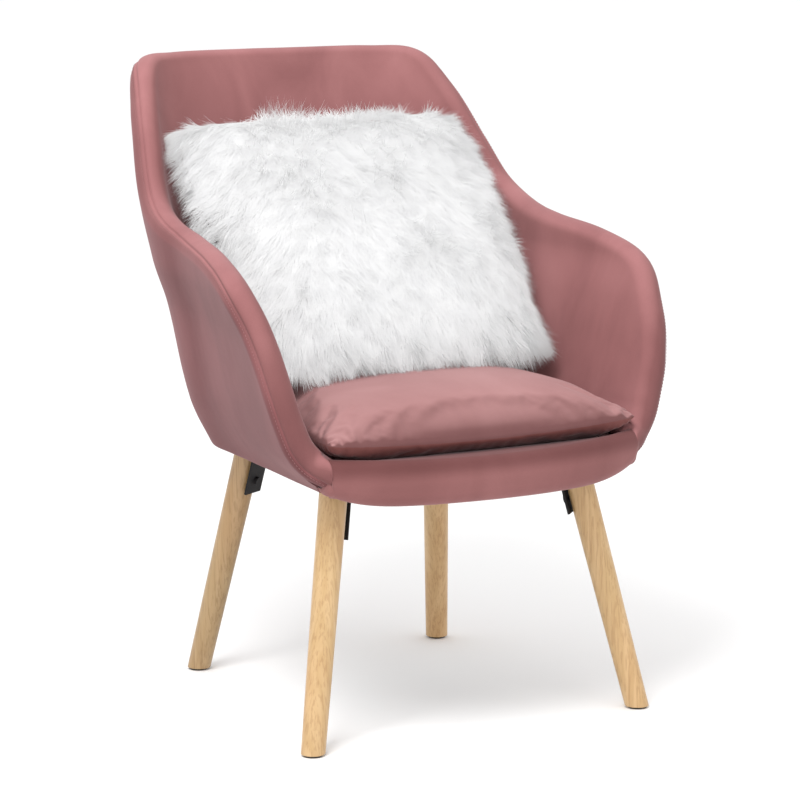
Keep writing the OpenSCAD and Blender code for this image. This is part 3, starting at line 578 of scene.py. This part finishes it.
foam_inside_v = np.concatenate([np.linspace(-180, -92, 24), np.linspace(-90, SEAM_V, 13)])
foam_outside_v = np.concatenate([np.linspace(SEAM_V + 1.5, 90, 5), np.linspace(94, 174, 22)])
FOAM_START = 0.1
FOAMS = [("padding_left_arm", 0, ARM_PART, foam_inside_v, TUCK_Z, "left_arm_foam"),
         ("padding_back", ARM_PART, 2 * EDGE_N - ARM_PART, foam_inside_v, TUCK_Z, "back_foam"),
         ("padding_right_arm", 2 * EDGE_N - ARM_PART, 2 * EDGE_N, foam_inside_v, TUCK_Z,
          "right_arm_foam"),
         ("padding_outer_left", 0, ARM_PART, foam_outside_v, BASE_Z, "left_outer_padding"),
         ("padding_outer_back", ARM_PART, 2 * EDGE_N - ARM_PART, foam_outside_v, BASE_Z,
          "outer_back_padding"),
         ("padding_outer_right", 2 * EDGE_N - ARM_PART, 2 * EDGE_N, foam_outside_v, BASE_Z,
          "right_outer_padding")]
for name, first, last, angles, floor, node in FOAMS:
    columns = strips(max(first, FOAM_START), min(last, 2 * EDGE_N - FOAM_START), 6)
    piece = solid_between(name, layer(columns, angles, FOAM_R - 1, floor),
                          layer(columns, angles, CORE_HALF, floor))
    finish_piece(piece, "chair", foam_look, [node])

# ---- Front panel ----------------------------------------------------------------------------

PANEL_HALF_W = 229
PANEL_FRONT_Y = -352
PANEL_LOW_Z = 320
PANEL_TOP_Z = 380
LOW_R = 19
HIGH_R = 14
LIP_Y = -288


def panel_outline(x, margin, steps):
    """The panel's section at x, from its underside round the front to its top. Its ends take the
    arm roll's round section and lie just inside it, and it narrows downwards like the arms."""
    part = abs(x) / PANEL_HALF_W
    front = PANEL_FRONT_Y + 42 * part**2.2 + 0.6 * part**12
    low = PANEL_LOW_Z + 16 * part**7
    top = PANEL_TOP_Z + 5 * part**2
    low_r = LOW_R - margin
    round_r = HIGH_R + 6 * part**4
    high_r = round_r - margin
    rows = [(LIP_Y, BOARD_Z - 4 + margin)]
    for q in np.radians(np.linspace(-75, 0, steps)):
        rows.append((front + LOW_R - low_r * math.cos(q), low + LOW_R + low_r * math.sin(q)))
    for share in np.linspace(0.12, 0.88, 5):
        z = low + LOW_R + share * (top - round_r - low - LOW_R)
        rows.append((front + margin - 1.6 * math.sin(math.pi * share) * (1 - part**6), z))
    for q in np.radians(np.linspace(0, 90, steps)):
        rows.append((front + round_r - high_r * math.cos(q), top - round_r + high_r * math.sin(q)))
    for share in (0.3, 0.65, 1.0):
        y = front + round_r + share * (LIP_Y - front - round_r)
        rows.append((y, top - margin + share * (DECK_Z + 3 - top)))
    narrow = [0.055 * min(1, max(0, (366 - z) / 46)) for y, z in rows]
    return [(x * (1 - n), y, z) for n, (y, z) in zip(narrow, rows)]


stations = np.linspace(-PANEL_HALF_W, PANEL_HALF_W, 81)
panel_top = np.array([panel_outline(x, 0, 10) for x in stations])
panel_low = np.array([panel_outline(x, COVER_T, 10) for x in stations])
panel = solid_between("velvet_front_panel", ruffled(panel_top, 0.5, 9),
                      ruffled(panel_low, 0.5, 9))
finish_piece(panel, "chair", rose_panel, ["front_panel_cover"])

CORNER_MIDDLE = np.array([218, -288, 353])
CORNER_HALF = np.array([13.5, 21, 17])
CORNER_POWER = 0.75


def corner_pad(name, side):
    """The rounded lower corner where an arm's cover is drawn round to the front panel."""
    rings, around = 17, 32
    lat = np.linspace(-np.pi / 2, np.pi / 2, rings + 2)[1:-1]
    lon = np.linspace(0, 2 * np.pi, around + 1)[:-1]
    a, b = np.meshgrid(lat, lon, indexing="ij")
    shape = np.stack([np.cos(a) * np.cos(b), np.cos(a) * np.sin(b), np.sin(a)], -1).reshape(-1, 3)
    shape = np.concatenate([shape, [[0, 0, -1], [0, 0, 1]]])
    shape = np.sign(shape) * np.abs(shape) ** CORNER_POWER * CORNER_HALF + CORNER_MIDDLE
    low_pole, high_pole = rings * around, rings * around + 1
    index = np.arange(low_pole).reshape(rings, around)
    ahead = np.roll(index, -1, 1)
    quads = np.stack([index[:-1], ahead[:-1], ahead[1:], index[1:]], -1).reshape(-1, 4)
    poles = np.concatenate([np.stack([0 * index[0] + low_pole, ahead[0], index[0]], -1),
                            np.stack([0 * index[-1] + high_pole, index[-1], ahead[-1]], -1)])
    if side < 0:
        quads = quads[:, ::-1]
        poles = poles[:, ::-1]
    return add_mesh(name, shape * [side * MM, MM, MM], [quads, poles])


for name, side in (("velvet_left_corner", -1), ("velvet_right_corner", 1)):
    finish_piece(corner_pad(name, side), "chair", rose_panel)

# ---- Seat deck ------------------------------------------------------------------------------

DECK_TOP_Z = 374.4
DECK_REACH = 8
DECK_T = 1.2
DECK_TURNS = (0.085, 1.97)
DECK_ROWS = 100


def deck_cloth():
    """The top of the deck's cloth, flat, from under the panel's lip back and to all sides under
    the inner cover."""
    turns = np.linspace(*DECK_TURNS, DECK_ROWS)
    height = np.full(DECK_ROWS, DECK_TOP_Z)
    rim = shell_at(turns, height) - DECK_REACH * shell_normal(turns, height)
    share, x = np.meshgrid(np.linspace(1, -1, 61), rim[:, 0])
    return np.stack([share * x, rim[:, 1][:, None] + 0 * x, DECK_TOP_Z + 0 * x], -1)


deck = deck_cloth()
finish_piece(solid_between("velvet_deck", deck, deck - np.array([0, 0, DECK_T])), "chair", rose,
             ["seat_deck_cover"])

# ---- Stitches along the seam of the roll ----------------------------------------------------

STITCH_L = 3.2
STITCH_PITCH = 4.6
STITCH_R = 0.42
STITCH_OFF = 11


def seam_route(v_off):
    """Points and outward directions along the seam, from the left arm's front to the right's."""
    columns = strips(0.15, 2 * EDGE_N - 0.15, 120)
    base = layer(columns, [v_off], cover_r, BASE_Z)[:, 0]
    return base, unit(layer(columns, [v_off], lambda u, v: cover_r(u, v) + 5, BASE_Z)[:, 0] - base)


def add_stitches(name, route, normals, seed):
    """Short rounded threads laid end to end along a route, each dipping at its ends."""
    step = np.linalg.norm(np.diff(route, axis=0), axis=1)
    run = np.concatenate([[0], np.cumsum(step)])
    starts = np.arange(3, run[-1] - 6, STITCH_PITCH)
    jitter = np.random.default_rng(seed).uniform(-0.2, 0.2, len(starts))

    def follow(values, at):
        return np.stack([np.interp(at, run, values[:, k]) for k in range(3)], -1)

    rings = []
    for along, fat, lift in ((-0.5, 0.35, -0.3), (-0.32, 1.0, 0.1), (0.0, 1.0, 0.22),
                             (0.32, 1.0, 0.1), (0.5, 0.35, -0.3)):
        at = starts + jitter + (along + 0.5) * STITCH_L
        n = unit(follow(normals, at))
        side = np.cross(unit(follow(route, at + 1) - follow(route, at)), n)
        for a in np.linspace(0, 2 * math.pi, 6, endpoint=False):
            rings.append(follow(route, at) + lift * n
                         + STITCH_R * fat * (math.cos(a) * side + math.sin(a) * n))
    points = np.stack(rings, 1)
    first = (np.arange(len(starts)) * 30)[:, None]
    quads = [(6 * ring + k, 6 * ring + (k + 1) % 6, 6 * ring + 6 + (k + 1) % 6, 6 * ring + 6 + k)
             for ring in range(4) for k in range(6)]
    sides = np.concatenate([first + np.array([quad]) for quad in quads])
    caps = np.concatenate([first + np.arange(5, -1, -1), first + 24 + np.arange(6)])
    return add_mesh(name, points.reshape(-1, 3) * MM, [sides, caps])


stitches = add_stitches("seam_stitches", *seam_route(SEAM_V + STITCH_OFF), 5)
finish_piece(stitches, "chair", thread)

# ---- Seat cushion and pillow ----------------------------------------------------------------


def draw_in(own, other, k):
    return own * np.sqrt(1 - k * other**2 / 2)


def swell(s, t, power):
    return np.sqrt(np.maximum(0, (1 - np.abs(s) ** power) * (1 - np.abs(t) ** power)))


def spread(n):
    """Places from -1 to 1, closer together towards the ends."""
    even = np.linspace(-1, 1, 2 * n + 1)
    return 0.55 * even + 0.45 * np.sin(np.pi / 2 * even)


def two_panels(name, top, bottom):
    """A closed mesh of two grids of points in millimetres that share their outer edge. Returns
    the piece and the numbers of the points on that edge."""
    n, m = top.shape[:2]
    edge = np.ones((n, m), bool)
    edge[1:-1, 1:-1] = False
    upper = np.arange(n * m).reshape(n, m)
    lower = upper.copy()
    lower[~edge] = n * m + np.arange((~edge).sum())
    corner = [upper[:-1, :-1], upper[1:, :-1], upper[1:, 1:], upper[:-1, 1:]]
    under = [lower[:-1, 1:], lower[1:, 1:], lower[1:, :-1], lower[:-1, :-1]]
    faces = [np.stack([c.ravel() for c in corner], -1), np.stack([c.ravel() for c in under], -1)]
    points = np.concatenate([top.reshape(-1, 3), bottom[~edge]]) * MM
    return add_mesh(name, points, faces), upper[edge]


def inflate(piece, pinned, pressure, growth, frames, cap):
    """Cloth simulation: the panels grow a little while their seam stays put, and air pressure
    keeps them full, so the cloth puckers along the seam. Nothing moves further than cap."""
    scene = bpy.context.scene
    before = np.array([v.co for v in piece.data.vertices])
    group = piece.vertex_groups.new(name="seam")
    group.add([int(i) for i in pinned], 1.0, "REPLACE")
    cloth = piece.modifiers.new("cloth", "CLOTH")
    settings = cloth.settings
    settings.quality = 5
    settings.mass = 0.25
    settings.tension_stiffness = 12
    settings.compression_stiffness = 12
    settings.shear_stiffness = 4
    settings.bending_stiffness = 0.15
    settings.use_pressure = True
    settings.uniform_pressure_force = pressure
    settings.vertex_group_mass = "seam"
    settings.shrink_min = -growth
    settings.effector_weights.gravity = 0
    cloth.collision_settings.use_collision = False
    cloth.collision_settings.use_self_collision = False
    for number in range(1, frames + 1):
        scene.frame_set(number)
    shown = piece.evaluated_get(bpy.context.evaluated_depsgraph_get())
    after = np.array([v.co for v in shown.data.vertices])
    piece.modifiers.remove(cloth)
    piece.vertex_groups.remove(group)
    scene.frame_set(1)
    move = after - before
    far = np.linalg.norm(move, axis=1, keepdims=True)
    far[far == 0] = 1
    move *= np.minimum(1, cap / far)
    piece.data.vertices.foreach_set("co", (before + move).astype(np.float32).ravel())
    piece.data.update()


def smooth_more(piece, levels=1):
    subdivision = piece.modifiers.new("smooth", "SUBSURF")
    subdivision.levels = levels
    subdivision.render_levels = levels


CUSHION_FRONT_Y = -314
CUSHION_REAR_Y = 95
CUSHION_FRONT_W = 237
CUSHION_REAR_W = 176
CUSHION_EDGE_Z = 403
CUSHION_TOP_Z = 456
CUSHION_CORNER = 0.1
CUSHION_DIP = 10


def cushion_xy(s, t):
    middle = (CUSHION_REAR_Y + CUSHION_FRONT_Y) / 2
    corner = 1 - 0.02 * (s * t) ** 6
    half = (CUSHION_REAR_Y - CUSHION_FRONT_Y) / 2 * corner
    y = middle + draw_in(t, s, CUSHION_CORNER) * half
    f = (y - CUSHION_FRONT_Y) / (2 * half)
    w = CUSHION_FRONT_W + (CUSHION_REAR_W - CUSHION_FRONT_W) * f
    return draw_in(s, t, CUSHION_CORNER) * w * corner, y


def pucker(points, s, t, amount, seed):
    """Small gathers that run in from the seam and are deeper towards the corners."""
    from_edge = np.minimum(1 - np.abs(s), 1 - np.abs(t)) * 200
    corner = np.exp(-(((1 - np.abs(s)) ** 2 + (1 - np.abs(t)) ** 2) / 0.035))
    along = np.where(np.abs(s) > np.abs(t), t, s) * 200
    rng = np.random.default_rng(seed)
    phase = rng.uniform(0, 6.28, 4)
    fold = np.sin(along / 2.1 + 2.5 * np.sin(along / 17 + phase[0]) + phase[1])
    fold = fold + 0.6 * np.sin(along / 3.7 + phase[2])
    depth = amount * (0.25 + corner) * np.exp(-from_edge / 13) * (1 - np.exp(-from_edge / 1.5))
    points[..., 2] += depth * fold
    return points


s, t = np.meshgrid(spread(46), spread(42), indexing="ij")
x, y = cushion_xy(s, t)
rise = CUSHION_TOP_Z - CUSHION_EDGE_Z - 3
drop = CUSHION_EDGE_Z - DECK_Z - 0.8
dip = CUSHION_DIP * (1 - s**2) * ((1 - t) / 2) ** 2
top = np.stack([x, y, CUSHION_EDGE_Z - dip + (rise + dip) * swell(s, t, 3)], -1)
under = np.stack([x, y, CUSHION_EDGE_Z - dip - (drop - dip) * swell(s, t, 8)], -1)
x, y = cushion_xy(s * 0.95, t * 0.95)
filling = two_panels("cushion_filling",
                     np.stack([x, y, CUSHION_EDGE_Z + (rise - 6) * swell(s, t, 3)], -1),
                     np.stack([x, y, CUSHION_EDGE_Z - (drop - 3) * swell(s, t, 5)], -1))[0]
finish_piece(filling, "seat_cushion", foam_look, ["cushion_foam"])
top = pucker(top, s, t, 2.5, 21)
under = pucker(under, s, t, 1.6, 22)
cushion, seam = two_panels("cushion_velvet", top, under)
inflate(cushion, seam, 1.5, 0.012, 14, 0.004)
smooth_more(cushion)
finish_piece(cushion, "seat_cushion", rose_seat,
             ["cushion_top_panel", "cushion_bottom_panel"])
# The bottom panel's faces take the dark painted-shade copy of the velvet.
cushion.data.materials.append(rose_painted_shade)
half = len(cushion.data.polygons) // 2
cushion.data.polygons.foreach_set("material_index", np.arange(2 * half) // half)

PILLOW_W = 218
PILLOW_H = 211
PILLOW_T = 72
PILLOW_LEAN = math.radians(46)
PILLOW_AT = np.array([3.0, 54, 618])
FUR_T = 4
PILLOW_ACROSS = np.array([1.0, 0, 0])
PILLOW_UP = np.array([0, math.sin(PILLOW_LEAN), math.cos(PILLOW_LEAN)])
PILLOW_FRONT = np.array([0, -math.cos(PILLOW_LEAN), math.sin(PILLOW_LEAN)])


def pillow_place(s, t, depth):
    """A place in the pillow: across, up its lean, and depth towards its front. It is a little
    narrower at its foot, its corners are rounded and its top edge sinks in the middle."""
    corner = 1 - 0.05 * (s * t) ** 6
    across = draw_in(s, t, 0.1) * PILLOW_W * (1 + 0.04 * (t - 0.2)) * corner
    up = draw_in(t, s, 0.02) * PILLOW_H * corner * (1 - 0.07 * np.maximum(0, t) ** 2 * (1 - s**2))
    return (PILLOW_AT + across[..., None] * PILLOW_ACROSS + up[..., None] * PILLOW_UP
            + depth[..., None] * PILLOW_FRONT)


s, t = np.meshgrid(spread(34), spread(34), indexing="ij")
full = swell(s, t, 3.2)
front = pillow_place(s * 0.98, t * 0.98, (PILLOW_T - 10) * full)
rear = pillow_place(s * 0.98, t * 0.98, (2 - PILLOW_T) * full)
filling = two_panels("pillow_filling", pillow_place(s * 0.96, t * 0.96, (PILLOW_T - 12) * full),
                     pillow_place(s * 0.96, t * 0.96, (10 - PILLOW_T) * full))[0]
finish_piece(filling, "pillow", fibre_look, ["pillow_insert"])
pillow, seam = two_panels("pillow_cloth", front, rear)
inflate(pillow, seam, 1.2, 0.01, 12, 0.003)
smooth_more(pillow)
finish_piece(pillow, "pillow", white_cloth,
             ["pillow_back_panel", "pillow_fur_panel"])

# ---- Fur ------------------------------------------------------------------------------------

FUR_PIECES = 3
BLADES = 38000
LOCK_SIZE = 26
SWIRL_SIZE = 110
RIM_SHARE = 0.24
TUFT_SHARE = 0.2
BLADE_LENGTHS = (18, 30)
BLADE_HALF_WIDTHS = (0.25, 0.5)


def fur_roots(count, rng):
    """Random places on the pillow's front and round its seam. Returns them with their s and t,
    their outward normals, and how far each lies out across and up the pillow."""
    s = rng.uniform(-1, 1, count)
    t = rng.uniform(-1, 1, count)
    rim = rng.random(count) < RIM_SHARE
    side = rng.integers(0, 4, count)
    near = 1 - rng.random(count) ** 2 * 0.06
    s = np.where(rim & (side == 0), near, np.where(rim & (side == 1), -near, s))
    t = np.where(rim & (side == 2), near, np.where(rim & (side == 3), -near, t))
    depth = (PILLOW_T - FUR_T) * swell(s, t, 3.2)
    depth = np.where(rim & (side < 3) & (rng.random(count) < 0.35), -depth * 0.9, depth)
    root = pillow_place(s, t, depth)
    across = s[:, None] ** 3 * PILLOW_ACROSS
    up = t[:, None] ** 3 * PILLOW_UP
    flat = np.clip(depth / PILLOW_T, -1, 1)[:, None] * PILLOW_FRONT
    return root, s, t, unit((across + up) * 1.1 + flat + 1e-6), across, up


def add_fur(name, seed):
    """Flat tapered blades that lie outwards and down in locks, hang in a fringe at the foot, and
    stand up in a tuft on the top edge."""
    rng = np.random.default_rng(seed)
    root, s, t, normal, across, up = fur_roots(BLADES, rng)
    lock = np.stack([wave_noise(root, LOCK_SIZE, 40 + k) for k in range(3)], -1)
    swirl = np.stack([wave_noise(root, SWIRL_SIZE, 50 + k) for k in range(3)], -1)
    stray = rng.normal(size=(BLADES, 3))
    foot = ramp(-t, 0.7, 0.97)[:, None]
    hang = np.array([0, -0.25, -1.0]) + foot * np.array([0, -0.55, 0.3])
    in_tuft = rng.random(BLADES) < TUFT_SHARE
    tuft = (np.maximum(0, t) ** 9 * np.exp(-((s + 0.2) / 0.2) ** 2) * in_tuft)[:, None]
    across_share = 0.85 - 0.65 * ramp(s - 0.5 * t, 0.3, 1.2)[:, None]
    up_share = 0.15 + 0.95 * (t < 0)[:, None]
    lean = (0.3 * normal + across_share * across + up_share * up + 0.26 * lock + 0.22 * swirl
            + 0.14 * stray + 0.55 * hang)
    lean += tuft * (1.2 * PILLOW_UP + 0.8 * lock + 0.35 * stray - 0.4 * hang)
    lean = unit(lean)
    sunk = np.minimum(0, (lean * normal).sum(1) - 0.12)
    lean = unit(lean - 1.1 * sunk[:, None] * normal)
    length = rng.uniform(*BLADE_LENGTHS, BLADES) * (1 + 0.35 * tuft[:, 0] * (1 + lock[:, 0]))
    length *= 1 + 0.45 * foot[:, 0]
    bend = (0.3 - 0.2 * tuft) * hang + 0.22 * lock + 0.1 * stray
    side = unit(np.cross(lean, normal + 0.25 * stray))
    width = rng.uniform(*BLADE_HALF_WIDTHS, BLADES) * (1 - 0.4 * tuft[:, 0])
    points = np.zeros((BLADES, 7, 3))
    for k, (part, fat) in enumerate(((0, 1), (0.35, 0.85), (0.7, 0.55))):
        centre = root + (length * part)[:, None] * lean + (length * part**2 / 2)[:, None] * bend
        points[:, 2 * k] = centre - (width * fat)[:, None] * side
        points[:, 2 * k + 1] = centre + (width * fat)[:, None] * side
    points[:, 6] = root + length[:, None] * (lean + bend / 2)
    base = (np.arange(BLADES) * 7)[:, None]
    quads = np.concatenate([base + np.array([[0, 1, 3, 2]]), base + np.array([[2, 3, 5, 4]])])
    tips = base + np.array([[4, 5, 6]])
    fur = add_mesh(name, points.reshape(-1, 3) * MM, [quads, tips])
    shading = unit(normal + 1.3 * PILLOW_FRONT + np.array([0, 0, 0.4]))
    fur.data.normals_split_custom_set_from_vertices(np.repeat(shading, 7, axis=0))
    return fur


for number in range(FUR_PIECES):
    fur = add_fur(f"pillow_fur_{number + 1}", 71 + number)
    finish_piece(fur, "pillow", fur_white)

# ---- Pieces that keep their CAD shape -------------------------------------------------------

# Each leg's last number scales its wood's colours. It is partly the wood's own tone and partly
# painted shade, the rear left leg's darker tone most of all.
LEGS = {"front_left_leg": (-1, (245, -288), (181, -224), 0.82),
        "front_right_leg": (1, (245, -288), (181, -224), 0.84),
        "rear_left_leg": (-1, (192, 177), (146, 98), 0.6),
        "rear_right_leg": (1, (192, 177), (146, 98), 0.86)}
LEG_TONES = ((0.69, 0.47, 0.24), (0.6, 0.39, 0.18), (0.68, 0.52, 0.36))
for name, (side, foot, head, tone) in LEGS.items():
    run = Vector((side * (head[0] - foot[0]), head[1] - foot[1], 332.7))
    turn = run.to_track_quat("Z", "Y").inverted().to_euler()
    pale, mid, dark = [tuple(tone * c for c in colour) for colour in LEG_TONES]
    dress(NODES[name], wood(name + "_beech", turn, pale, mid, dark))

LOOKS = {
    "seat_board": plywood, "front_rail": plywood, "rail_blocks": plywood,
    "back_webbing": webbing_look, "seat_webbing_long": webbing_look,
    "seat_webbing_cross": webbing_look, "seat_deck_foam": foam_look,
    "front_panel_foam": foam_look,
    "dust_cover": dust_look, "foot_glides": felt_look,
    "leg_inserts": brass_look, "frame_feet_screws": bright_steel,
    "cushion_zip_tape": thread, "pillow_zip_tape": white_cloth,
    "pillow_zip_slider": white_metal, "pillow_zip_pull": white_metal,
}
for name, node in NODES.items():
    if name in LEGS or node.hide_render:
        continue
    dress(node, LOOKS.get(name, black_steel))

# ---- Floor, light and camera ----------------------------------------------------------------

FLOOR_SIZE = 60
bpy.ops.mesh.primitive_plane_add(size=FLOOR_SIZE)
floor = bpy.context.object
floor.name = "floor"
floor_look, nodes, links, shader = new_material("pale_floor")
shader.inputs["Base Color"].default_value = (0.97, 0.97, 0.97, 1)
shader.inputs["Roughness"].default_value = 0.9
dress(floor, floor_look)

world = bpy.data.worlds.new("studio")
world.use_nodes = True
sky = world.node_tree.nodes
sky["Background"].inputs["Strength"].default_value = 1.04
sky["Background"].inputs["Color"].default_value = (1, 1, 1, 1)
bpy.context.scene.world = world


def add_light(name, place, aim, size, power):
    data = bpy.data.lights.new(name, "AREA")
    data.size = size
    data.energy = power
    light = bpy.data.objects.new(name, data)
    light.location = place
    light.rotation_euler = (Vector(aim) - Vector(place)).to_track_quat("-Z", "Y").to_euler()
    bpy.context.scene.collection.objects.link(light)


add_light("top", (-1.3, -1.1, 2.7), (0, -0.05, 0.45), 1.2, 54)
add_light("front", (0.6, -3.4, 1.9), (0, 0, 0.5), 1.6, 8)

look_right = Vector((0.881, -0.473, 0)).normalized()
look_ahead = Vector((0.4656, 0.8675, -0.175)).normalized()
look_up = look_right.cross(look_ahead).normalized()
camera_data = bpy.data.cameras.new("camera")
camera_data.sensor_width = 36
camera_data.lens = 144.3
camera = bpy.data.objects.new("camera", camera_data)
turn = Matrix((look_right, look_up, -look_ahead)).transposed()
camera.matrix_world = Matrix.Translation((-2.0198, -3.8296, 1.1659)) @ turn.to_4x4()
bpy.context.scene.collection.objects.link(camera)
bpy.context.scene.camera = camera
bpy.context.scene.view_settings.view_transform = "Standard"
